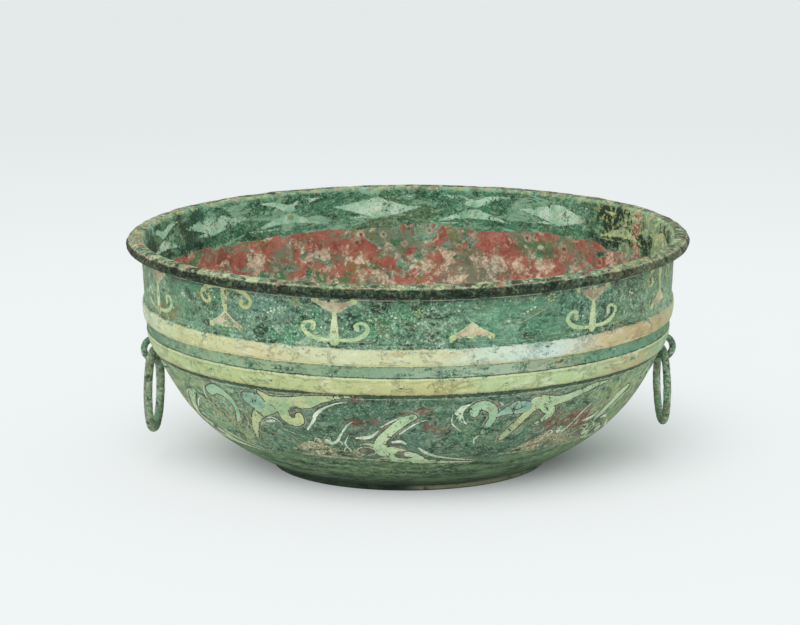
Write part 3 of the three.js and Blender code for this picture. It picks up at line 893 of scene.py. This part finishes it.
# brown scars, then faint curls of lost paint on the bowl
def scarBowl(g, fine, side):
    scars = g.near(*largeScar) * 1.2
    for spot in smallScars:
        scars = scars + g.near(*spot)
    speckled = g.blotch(60, 0.43, 0.52, 36.0) * g.blotch(260, 0.42, 0.52, 37.0)
    g.coat(g.mix("74463a", "92695a", fine), (scars * speckled).math("MINIMUM", 0.9))
    field = g.noise(34, 3, 0.5, 1.4, 1.2, 71.0)
    curls = g.step(((field * 8).math("FRACT") - 0.5).math("ABSOLUTE"), 0.17, 0.08)
    panel = g.step(g.z, bandBottom - 0.003, bandBottom - 0.006) * g.step(g.z, bowlHeight(0.068), bowlHeight(0.06))
    sided = g.step(side, 0.08, 0.15)
    worn = g.step(g.noise(24, 9, 0.72, 0.4, shift=74.0) + sided * 0.03, 0.47, 0.54) * g.step(fine, 0.42, 0.5)
    g.coat("b6bc90", panel * curls * worn * (0.35 + sided * 0.5))


# a foot darkened with painted shade and paler streaks, the painted shade deepest next to the floor, with pale
# specks and a tan edge at the right
def shadedFoot(g):
    foot = g.step(g.z, bowlHeight(0.062), bowlHeight(0.074))
    streaks = g.blotch(30, 0.43, 0.57, 38.0, stretch=7.0)
    thinStreaks = g.blotch(90, 0.48, 0.58, 76.0, stretch=5.0)
    # painted shade over the foot, deeper between the paler streaks
    streakedFootShade = g.mix(g.colour, "1d3024", 0.25 + (1 - streaks) * 0.35)
    g.coat(g.mix(streakedFootShade, "8aa474", streaks * 0.5 + thinStreaks * 0.35), foot)
    specked = g.blotch(230, 0.51, 0.57, 91.0, stretch=1.8) * g.blotch(24, 0.44, 0.54, 92.0)
    g.coat("a4c490", foot * specked * g.step(g.z, 0.012, 0.022) * 0.6)
    # painted shade along the bottom, lighter at the right
    g.coat("1b2c22", g.step(g.z, 0.015, 0.005) * (0.75 - g.sideways(0.5, 0.56) * 0.3))
    turned = g.step(g.z, b["footHeight"] + 0.0006, b["footHeight"] - 0.0004) * g.step(g.z, 0.0004, 0.0012)
    tan = turned * g.blotch(60, 0.38, 0.48, 40.0, stretch=0.3) * g.sideways(0.49, 0.52)
    g.coat("98967a", tan * 0.85)


def outsideMaterial():
    material, g = newMaterial("painted green wall")
    height, rough = patina(g, crust=0.6, rust=0.6, grime=0.8)
    side = g.away(0.5)
    tintWallWithPaintedLight(g, side)
    fine = g.noise(420, 6, 0.7)
    wander = g.noise(85, 7, 0.72, 0.2, 1.5, 5.2)
    wobble = (fine - 0.5) * 0.0028 + (wander - 0.5) * 0.0036
    wear = g.noise(52, 9, 0.75, 0.4, 2.0, 4.4) * 0.75 + fine * 0.25
    paintStrips(g, fine, wobble, wear)
    lipShadeAndBorders(g, fine, wobble, wear)
    scarBowl(g, fine, side)
    shadedFoot(g)
    finishMaterial(g, rough, height, reliefDepths["wall"])
    return material


def insideMaterial():
    material, g = newMaterial("red lacquered inside")
    height, rough = patina(g, crust=0.5, rust=0.25, grime=0.6, deep="2f5840", base="4f8060", pale="82b08c",
                           vivid="46906a", blue="6a9886", grain="9ec6a6")
    top = b["height"]
    fine = g.noise(420, 6, 0.72)
    patchiness = g.noise(48, 9, 0.74, 0.5, shift=18.0)
    wisps = g.blotch(30, 0.52, 0.58, 61.0, 0.7, 0.9, 3.0)
    g.coat("a8d0b0", wisps * 0.55)
    # both ends of the far wall are darker, and the right one has yellowed
    sway = g.turn + (patchiness - 0.5) * 0.1
    left = g.step(sway, 0.262, 0.235) * g.step(sway, 0.13, 0.155)
    right = g.step(sway, 0.735, 0.755) * g.step(sway, 0.875, 0.85)
    ends = (left + right) * g.step(g.z, top - 0.05, top - 0.035)
    g.coat("1e3026", ends * g.step(patchiness, 0.53, 0.48) * (0.9 - left * 0.25))
    yellowed = right * g.step(g.z, top - 0.05, top - 0.035)
    straw = g.mix("86a880", "d0d6a4", g.blotch(150, 0.44, 0.57, 64.0))
    g.coat(straw, yellowed * g.step(patchiness, 0.525, 0.55) * 0.85)
    flecks = right * g.blotch(260, 0.53, 0.57, 63.0) * g.step(g.z, top - 0.034, top - 0.02)
    g.coat("b6c07c", flecks * 0.8)
    patch = g.near(0.788, 0.016, top - 0.024, 0.013) * g.step(patchiness, 0.42, 0.48)
    g.coat(straw, patch)
    # red below a wandering edge, flaked to the green in places
    wander = g.noise(15, 7, 0.62, shift=3.7)
    border = g.step(g.z + (wander - 0.5) * 0.022 + (fine - 0.5) * 0.002, top - 0.0312, top - 0.0322)
    patches = g.noise(26, 10, 0.74, 0.6, shift=14.0)
    kept = g.step(patches, 0.56, 0.535)
    red = g.ramp(g.noise(60, 8, 0.74), [(0.34, "94574a"), (0.47, "b06a59"), (0.56, "bb7967"), (0.68, "cb9a86")])
    red = g.mix(red, "6d3a2f", g.step(fine, 0.42, 0.34) * 0.6)
    g.coat(red, border * kept)
    g.coat("bfd2b8", border * g.step(patches, 0.53, 0.545) * g.step(patches, 0.575, 0.56) * 0.55)
    # grey clouds, green and olive patches and chalk over the red
    deep = g.step(g.z, top - 0.03, top - 0.055)
    cloud = g.noise(30, 9, 0.72, 0.4, shift=27.0) + g.step(g.turn, 0.7, 0.8) * g.step(g.turn, 0.98, 0.88) * 0.03
    g.coat(g.mix("6f7f68", "8e9c80", patchiness), border * g.step(cloud, 0.515, 0.575) * 0.85)
    green = g.blotch(34, 0.565, 0.59, 52.0)
    large = g.near(0.912, 0.02, top - 0.042, 0.009) * g.blotch(55, 0.4, 0.47, 83.0)
    g.coat("4a8a5c", border * (green + large).math("MINIMUM", 1.0) * 0.85)
    g.coat("8a8a4c", border * g.blotch(40, 0.59, 0.62, 67.0) * 0.7)
    chalk = g.noise(75, 10, 0.8, 0.4, shift=21.0) + deep * 0.06 - g.step(g.z, 0.1, 0.06) * 0.05
    chalky = g.mix("d2ae94", "f0e8cc", g.step(fine, 0.4, 0.58))
    g.coat(chalky, border * g.step(chalk, 0.55, 0.63) * 0.92)
    # small craters with pale rims, one long drip and a speckled crest
    craters = g.cells(85, 11.0) + (fine - 0.5) * 0.5 + (patches - 0.5) * 0.6
    holed = border * g.step(patches, 0.47, 0.53)
    rims = g.step(craters, 0.12, 0.2) * g.step(craters, 0.34, 0.26)
    g.coat("e6cdb0", holed * rims * 0.5)
    g.coat("5c3329", holed * g.step(craters, 0.15, 0.08) * 0.8)
    dripTurn, dripHalf = 0.822, 0.0052
    drip = g.step(((g.turn + (patchiness - 0.5) * 0.04 - dripTurn) / dripHalf).math("ABSOLUTE"), 1.0, 0.5)
    pinks = g.mix("a86e58", "e6d3b2", g.step(fine, 0.5, 0.57))
    g.coat(pinks, drip * g.step(fine, 0.38, 0.46) * 0.9)
    crest = g.step(g.z + (fine - 0.5) * 0.002, top - 0.0034, top - 0.0016)
    specks = (("86a886", 80, 0.46, 57.0), ("b2ba80", 170, 0.53, 59.0), ("9a7450", 150, 0.56, 65.0),
              ("bf8c7c", 190, 0.57, 69.0))
    for tint, scale, low, shift in specks:
        g.coat(tint, crest * g.blotch(scale, low, low + 0.04, shift) * 0.85)
    finishMaterial(g, rough, height + border * kept * 0.2 + rims * 0.2, reliefDepths["wall"])
    return material


def lipMaterial():
    material, g = newMaterial("worn lip with painted shade")
    height, rough = patina(g, crust=0.8, rust=0.6, grime=1.0, base="6c865e", pale="a3b88c", russet="8a6a4c")
    top = b["height"]
    fine = g.noise(420, 6, 0.72)
    leftward = g.sideways(0.42, 0.3) * 0.6 + 0.35
    patches = (("ab9468", leftward, 90, 0.51, 0.56, 3.3), ("bccb98", 0.8, 130, 0.53, 0.58, 41.0),
               ("a2695a", 0.8, 110, 0.58, 0.61, 44.0), ("24382a", 0.85, 120, 0.46, 0.42, 47.0))
    for tint, share, *patch in patches:
        g.coat(tint, g.blotch(*patch) * share)
    g.coat("6a6446", g.sideways(0.6, 0.72) * g.blotch(100, 0.45, 0.55, 81.0) * 0.6)
    # a dark outer edge under a thin pale line: painted shade on the lower, outer part of the lip, lighter at the right
    # and towards the back
    outer = g.step(g.reach, b["rim"] - 0.008, b["rim"] - 0.005)
    wobble = (fine - 0.5) * 0.0012
    line = outer * strip(g, top - 0.0019, top - 0.0011, wobble) * g.step(fine, 0.58, 0.5)
    g.coat("b9a38c", line * 0.75)
    # painted shade on the lip's underside
    dark = outer * g.step(g.z + wobble, top - 0.0016, top - 0.0028)
    dark = dark * (1 - g.sideways(0.55, 0.68) * 0.35) * (1 - g.step(g.away(0.5), 0.28, 0.4) * 0.6)
    tint = g.mix("17251c", "3d3426", g.sideways(0.58, 0.7) * g.blotch(60, 0.44, 0.54, 49.0))
    g.coat(tint, dark * (0.7 + g.step(fine, 0.56, 0.46) * 0.25))
    finishMaterial(g, rough, height, reliefDepths["lip"])
    return material


def wireMaterial(name, **tints):
    material, g = newMaterial(name)
    height, rough = patina(g, crust=0.7, rust=0.9, grime=0.8, **tints)
    g.coat("75715a", g.blotch(110, 0.5, 0.58, 6.6) * 0.6)
    spots = g.step(g.noise(260, 5, 0.6, shift=8.8), 0.55, 0.62)
    g.coat("b3c6a4", spots * 0.75)
    finishMaterial(g, rough, height + spots * 0.2, reliefDepths["wire"])
    return material


# flaked paint, eaten away from its edges; what has gone shows the patina beneath
def paintMaterial(name, dark, middle, light, keep, shift, fray=1.0, bare=None, scale=70, yellowing=None):
    material, g = newMaterial(name)
    g.colour = g.ramp(g.noise(scale, 7, 0.72, 0.3), [(0.4, dark), (0.5, middle), (0.6, light)])
    fine = g.noise(430, 6, 0.74, shift=17.0)
    g.coat("5f7c66", g.step(fine, 0.47, 0.37) * 0.55)
    g.coat("a2785f", g.blotch(130, 0.58, 0.64, 29.0) * 0.4)
    if yellowing is not None:
        straw = g.mix("9ab488", "d0d6a2", g.blotch(150, 0.44, 0.57, 28.0))
        g.coat(straw, g.step(g.away(yellowing), 0.1, 0.06))
    wear = g.noise(42, 8, 0.7, 0.3, shift=shift) * 0.6 + fine * 0.4
    inset = g.add("ShaderNodeAttribute", {"attribute_name": "inset"}, {}, "Fac")
    eaten = (fine - 0.42) * 3.0 * fray
    left = g.step(wear, keep, keep - 0.025) * g.step(inset - eaten, -0.05, 0.12)
    if bare is not None:
        left = left * g.step(g.away(bare), 0.02, 0.03)
    finishMaterial(g, 0.72, fine, reliefDepths["paint"], alpha=left)
    return material


def mixPaints():
    # three tints, how much is kept, shift of the wear, fray, bare turn, scale of the tints, yellowed turn
    recipes = {
        "standing stem": ("a6bd8c", "bccb9a", "cdd6ac", 0.57, 31.0),
        "standing hooks": ("a4bd90", "b8cb98", "c8d3a0", 0.57, 31.0),
        "hanging stem": ("a8aa78", "bfbf8a", "cdcc98", 0.57, 36.0, 1.0, panelSizes["bare"]),
        "hanging hooks": ("a0ac74", "b9bd84", "cbcc94", 0.57, 36.0, 1.0, panelSizes["bare"]),
        "standing lozenge": ("9a8674", "b29e88", "c4b89a", 0.57, 31.0, 1.3),
        "hanging lozenge": ("b09880", "c6b498", "cfcba2", 0.575, 36.0, 1.3),
        "yellow cream": ("aebb86", "c2cb94", "d0d6a4", 0.572, 35.0),
        "faded pink": ("7f8670", "a39c86", "b8ae98", 0.545, 38.0, 0.5),
        "ochre": ("8a9462", "a2a870", "b8b884", 0.58, 39.0, 0.6),
        "outlines": ("66705a", "988a7a", "bdac98", 0.565, 35.0, 1.0, None, 220),
        "eyes": ("4c5e4c", "6c6c5c", "8e8878", 0.58, 37.0, 1.0, None, 200),
        "yellow": ("98b48c", "b9c592", "c6cc98", 0.57, 35.0, 1.5, None, 30),
        "sage": ("9cb48c", "b4cca2", "c2d4a4", 0.565, 35.0, 1.5, None, 40),
        "mint": ("88ae8c", "9ebf9a", "b4cca8", 0.56, 35.0, 1.5, None, 40),
        "pale green": ("a6c296", "c2d8aa", "d0dcb2", 0.565, 35.0, 1.5, None, 40),
        "blue": ("84a890", "96b69e", "a6c2ac", 0.57, 35.0, 1.5, None, 60),
        "gaps": ("2e4a3a", "3e5c4a", "55725c", 0.6, 35.0, 0.8, None, 150),
        "white": ("bccdac", "d4dfc2", "e4ebd4", 0.565, 41.0, 0.9),
        "residue": ("869a72", "bcae8c", "d0d2ae", 0.55, 44.0, 0.7, None, 260),
        "patches": ("7c9870", "bba888", "dcdcbc", 0.505, 44.0, 3.0, None, 330),
        "inner mint": ("94c6a4", "b2dabb", "cce8d0", 0.555, 47.0, 2.1, None, 70, 0.79),
    }
    return {name: paintMaterial(name + " paint", *recipe) for name, recipe in recipes.items()}


def buildBasin(tree):
    rows = basinRows()
    basin = newObject("painted_basin", rows, [], [])
    runTree(basin, tree, {"Rows": len(rows), "Around": b["around"], "Lump height": b["lipLump"],
                          "Lump scale": b["lumpScale"]})
    basin.data.materials.clear()
    for material in (outsideMaterial(), lipMaterial(), insideMaterial()):
        basin.data.materials.append(material)
    lipBottom, lipInside = neckHeight - 0.0002, b["rim"] - b["lipInset"] - 0.002
    for face in basin.data.polygons:
        centre = face.center
        middle = outerRadius(centre.z) - b["wall"] / 2 if centre.z < neckHeight else b["rim"]
        reach = math.hypot(centre.x, centre.y)
        if centre.z > lipBottom and reach > lipInside:
            face.material_index = 1
        elif centre.z > b["footHeight"] and reach < middle:
            face.material_index = 2
    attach(basin, "basin")
    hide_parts("basin_body")
    print("basin", len(basin.data.polygons), "faces")


# ring handles, hung just as the CAD rings hang; points and sections are counts along each wire
wireCounts = {"ringPoints": 96, "ringSections": 170, "loopSections": 90, "leg": 8, "bend": 16}
ringSizes = {
    1: {"name": "right_ring", "centre": 0.181762, "pivot": 0.079, "ring": 0.0261, "wire": 0.0029, "yaw": 4.7},
    -1: {"name": "left_ring", "centre": 0.182392, "pivot": 0.0794, "ring": 0.02795, "wire": 0.0033, "yaw": 5.7},
}


def buildRing(side, tree, material):
    r = ringSizes[side]
    turn = side * r["yaw"] * degree
    count = wireCounts["ringPoints"]
    points = []
    for i in range(count):
        angle = 2 * math.pi * i / count
        across, height = r["ring"] * math.sin(angle), r["pivot"] - r["ring"] * (1 + math.cos(angle))
        points.append((side * r["centre"] - across * math.sin(turn), across * math.cos(turn), height))
    ring = newObject(r["name"] + "_cast", points, [(i, (i + 1) % count) for i in range(count)], [])
    runTree(ring, tree, {"Wire radius": r["wire"], "Rings": wireCounts["ringSections"], "Material": material})
    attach(ring, r["name"])
    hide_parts(r["name"] + "_handle")


# staple loops: two legs through the wall and a round bend outside
loopSizes = {"wire": 0.0025, "spacing": 0.016, "height": 0.0805, "legPast": 0.0012,
             "headRadius": 0.0042, "headDepth": 0.0013, "headLean": 22, "headFlat": 0.34, "dent": 0.05,
             "smallDent": 0.03}


def legEnd(height):
    if height > bandBottom:
        return bandRadius(height) - b["wall"] - loopSizes["legPast"]
    return float(np.interp(height, innerLine[::-1, 1], innerLine[::-1, 0])) - loopSizes["legPast"]


def buildLoop(side, tree, material):
    s = loopSizes
    name = "right_staple_loop" if side > 0 else "left_staple_loop"
    half = s["spacing"] / 2
    low, high = s["height"] - half, s["height"] + half
    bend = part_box("right_staple_loop")[1][0] - s["wire"] - half
    leg, arc = wireCounts["leg"], wireCounts["bend"]
    points = [(legEnd(low) + (bend - legEnd(low)) * i / leg, low) for i in range(leg)]
    for i in range(arc + 1):
        angle = (i / arc - 0.5) * math.pi
        points.append((bend + half * math.cos(angle), s["height"] + half * math.sin(angle)))
    points += [(bend - (bend - legEnd(high)) * i / leg, high) for i in range(1, leg + 1)]
    edges = [(i, i + 1) for i in range(len(points) - 1)]
    loop = newObject(name + "_cast", [(side * x, 0, z) for x, z in points], edges, [])
    runTree(loop, tree, {"Wire radius": s["wire"], "Rings": wireCounts["loopSections"], "Material": material})
    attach(loop, "basin")
    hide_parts(name)
    buildHead(name + "_lower_head", side, legEnd(low), low, material)
    buildHead(name + "_upper_head", side, legEnd(high), high, material)


# a hammered head inside the wall, flattened and slightly dented
def buildHead(name, side, end, height, material):
    s = loopSizes
    work = bmesh.new()
    bmesh.ops.create_uvsphere(work, u_segments=28, v_segments=16, radius=s["headRadius"])
    lean = -side * s["headLean"] * degree
    for vertex in work.verts:
        x, y, z = vertex.co
        dent = 1 + s["dent"] * math.sin(5 * math.atan2(y, z)) + s["smallDent"] * math.sin(9 * math.atan2(z, y))
        x, y, z = x * s["headFlat"], y * dent, z * dent
        vertex.co = Vector((x * math.cos(lean) - z * math.sin(lean) + side * (end - s["headDepth"]), y,
                            x * math.sin(lean) + z * math.cos(lean) + height))
    mesh = bpy.data.meshes.new(name)
    work.to_mesh(mesh)
    work.free()
    mesh.shade_smooth()
    mesh.materials.append(material)
    head = addThing(name, mesh)
    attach(head, "basin")


# floor and background, pale wherever the camera or a reflection sees past the object; the floor keeps the object's
# shadow, which fades out with the distance from shadowPlace under painted light from a glow seen only by the camera
stageSizes = {"floor": 6.0, "fadeFrom": 0.55, "fadeTo": 1.7, "pale": "e4e9ea", "light": 1.0,
              "sky": (0.95, 0.98, 1.0, 1), "shadowPlace": (0.02, 0.09, 0), "shadowFrom": 0.12, "shadowTo": 0.27,
              "shadowLift": 0.85, "near": "eff3f3"}


def seenByEye(g):
    path = g.tree.nodes.new("ShaderNodeLightPath")
    rays = [Value(g, path.outputs[key]) for key in ("Is Camera Ray", "Is Glossy Ray", "Is Transmission Ray")]
    return (rays[0] + rays[1] + rays[2]).math("MINIMUM", 1.0)


def buildStage():
    s = stageSizes
    size = s["floor"]
    floor = newObject("floor", [(-size, -size, 0), (size, -size, 0), (size, size, 0), (-size, size, 0)], [],
                      [(0, 1, 2, 3)])
    material, g = newMaterial("pale floor")
    g.colour = g.mix("dfe3e3", "e6e9e9", g.noise(3, 2, 0.5))
    finishMaterial(g, 0.9, specular=0.1)
    far = g.add("ShaderNodeVectorMath", {"operation": "LENGTH"}, {0: g.place}, "Value")
    eye = seenByEye(g)
    away = g.add("ShaderNodeVectorMath", {"operation": "DISTANCE"}, {0: g.place, 1: s["shadowPlace"]}, "Value")
    # painted light: a glow seen only by the camera lifts the floor's shadow with the distance from shadowPlace
    shadowLiftGlow = g.add("ShaderNodeEmission", {}, {"Color": hexColour(s["near"])})
    lifted = g.step(away, s["shadowFrom"], s["shadowTo"]) * s["shadowLift"] * eye
    near = g.add("ShaderNodeMixShader", {}, {0: lifted, 1: Value(g, g.shader.outputs[0]), 2: shadowLiftGlow})
    glow = g.add("ShaderNodeEmission", {}, {"Color": hexColour(s["pale"])})
    mixed = g.add("ShaderNodeMixShader", {}, {0: g.step(far, s["fadeFrom"], s["fadeTo"]) * eye, 1: near, 2: glow})
    g.feed(material.node_tree.nodes["Material Output"].inputs["Surface"], mixed)
    floor.data.materials.append(material)
    world = bpy.data.worlds.new("studio")
    bpy.context.scene.world = world
    world.use_nodes = True
    w = Graph(world.node_tree)
    room = w.add("ShaderNodeBackground", {}, {"Color": s["sky"], "Strength": s["light"]})
    seen = w.add("ShaderNodeBackground", {}, {"Color": hexColour(s["pale"]), "Strength": 1.0})
    both = w.add("ShaderNodeMixShader", {}, {0: seenByEye(w), 1: room, 2: seen})
    w.feed(world.node_tree.nodes["World Output"].inputs["Surface"], both)


# two large soft lamps
lamps = {
    "overhead": {"place": (-0.15, -0.3, 1.9), "aim": (0, 0, 0.1), "size": 1.8, "power": 9},
    "front fill": {"place": (-0.4, -2.2, 1.0), "aim": (0, 0, 0.08), "size": 2.0, "power": 12},
}


def addLamp(name, lamp):
    data = bpy.data.lights.new(name, "AREA")
    data.size = lamp["size"]
    data.energy = lamp["power"]
    thing = addThing(name, data)
    thing.location = lamp["place"]
    thing.rotation_euler = (Vector(lamp["aim"]) - Vector(lamp["place"])).to_track_quat("-Z", "Y").to_euler()


# the photograph's view: where the crest's centre lies in the frame, and how many pixels the rim's radius takes there
cameraSizes = {"distance": 2.8, "elevation": 10.6, "roll": -0.32, "perRim": 281.0,
               "crestX": 408.1, "crestY": 231.8, "wide": 800, "high": 625, "sensor": 36, "farthest": 50}


def buildCamera():
    c = cameraSizes
    data = bpy.data.cameras.new("view")
    focal = c["perRim"] / b["rim"] * c["distance"]
    data.sensor_width = c["sensor"]
    data.lens = focal / c["wide"] * c["sensor"]
    data.clip_end = c["farthest"]
    camera = addThing("view", data)
    up = c["elevation"] * degree
    camera.location = (0, -c["distance"] * math.cos(up), b["height"] + c["distance"] * math.sin(up))
    right = math.atan((c["crestX"] - c["wide"] / 2) / focal)
    above = math.atan((c["high"] / 2 - c["crestY"]) / focal)
    aim = Vector((-math.sin(right), math.cos(up + above), -math.sin(up + above)))
    camera.rotation_mode = "QUATERNION"
    camera.rotation_quaternion = aim.to_track_quat("-Z", "Y") @ Quaternion((0, 0, 1), c["roll"] * degree)
    bpy.context.scene.camera = camera


buildCamera()
buildStage()
for lampName, lampValues in lamps.items():
    addLamp(lampName, lampValues)
print("stage ready")
turning, copying, wiring = turningTree(), aroundTree(), wireTree()
buildBasin(turning)
ringMetal = wireMaterial("ring bronze", base="87977a", pale="abbb9c", deep="566652")
loopMetal = wireMaterial("loop bronze", base="6c8570", pale="9bb296", deep="465c4a")
for side in (1, -1):
    buildRing(side, wiring, ringMetal)
    buildLoop(side, wiring, loopMetal)
print("rings and loops made")
paints = mixPaints()
print("upper panel", buildPanel(copying, paints), "faces")
print("lower panel", buildClouds(copying, paints), "faces")
print("inside", buildInside(copying, paints), "faces")
bpy.context.scene.view_settings.view_transform = "Standard"
